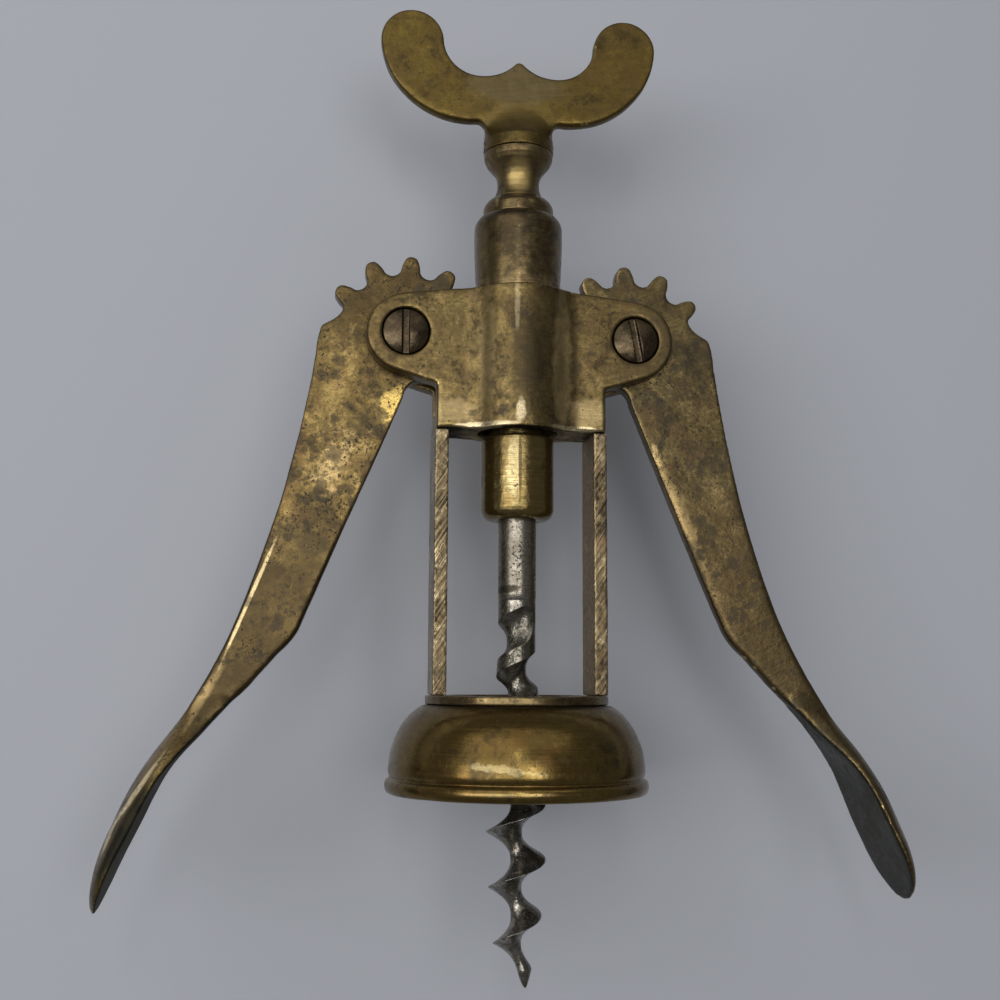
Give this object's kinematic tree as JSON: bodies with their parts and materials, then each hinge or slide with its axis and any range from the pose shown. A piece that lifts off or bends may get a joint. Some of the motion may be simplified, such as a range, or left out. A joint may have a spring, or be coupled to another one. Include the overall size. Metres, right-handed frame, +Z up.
{
  "type": "wing corkscrew",
  "caption": "Two-lever wing corkscrew in aged brass with a steel worm: turning the key drives the worm in and raises the levers, and pressing them down draws the cork",
  "frame": {"origin": "centre of the flat ring inside the bell that rests on a bottle's lip", "axes": "+X towards the right-hand lever as seen from the front, +Y from front to back, +Z up along the spindle towards the key"},
  "size_m": [0.1308, 0.0424, 0.162],
  "materials": {
    "cast_brass": "cast and aged, olive patina, satin",
    "turned_brass": "turned, dark patina, fine rings",
    "filed_brass": "filed, coarse bright marks",
    "polished_brass": "turned and worn bright, thin patina",
    "lever_brass": "aged, pitted and blotched, worn bright on edges",
    "key_brass": "brushed, aged, satin",
    "dark_steel": "darkened by age, satin",
    "bright_steel": "bright with dark pits"
  },
  "bodies": {
    "frame": {"head_casting": "cast_brass", "guide_sleeve": "turned_brass", "left_strut": "filed_brass", "right_strut": "filed_brass", "base_ring": "turned_brass", "bell": "polished_brass", "left_pivot_screw": "dark_steel", "right_pivot_screw": "dark_steel", "left_pivot_nut": "dark_steel", "right_pivot_nut": "dark_steel"},
    "left_wing": {"left_lever": "lever_brass"},
    "right_wing": {"right_lever": "lever_brass"},
    "rack": {"rack_sleeve": "turned_brass"},
    "spindle": {"worm_spindle": "bright_steel", "thrust_collar": "turned_brass", "neck_spool": "turned_brass", "key_handle": "key_brass", "key_pin": "dark_steel", "lower_ferrule": "polished_brass", "ferrule_pin": "dark_steel"}
  },
  "joints": [
    {"name": "left_lever_hinge", "type": "hinge", "parent": "frame", "child": "left_wing", "pos_m": [-0.0191, 0, 0.0622], "axis": [0, 1, 0], "range_deg": [-22, 68]},
    {"name": "right_lever_hinge", "type": "hinge", "parent": "frame", "child": "right_wing", "pos_m": [0.0191, 0, 0.0622], "axis": [0, -1, 0], "range_deg": [-22, 68]},
    {"name": "rack_slide", "type": "slide", "parent": "frame", "child": "rack", "axis": [0, 0, 1], "range_m": [-0.01425, 0.00462]},
    {"name": "key_turn", "type": "hinge", "parent": "rack", "child": "spindle", "pos_m": [0, 0, 0.0622], "axis": [0, 0, 1], "continuous": true}
  ],
  "couplings": [
    {"joint": "right_lever_hinge", "follows": "left_lever_hinge", "ratio": 1},
    {"joint": "rack_slide", "follows": "left_lever_hinge", "m_per_rad": -0.012}
  ]
}
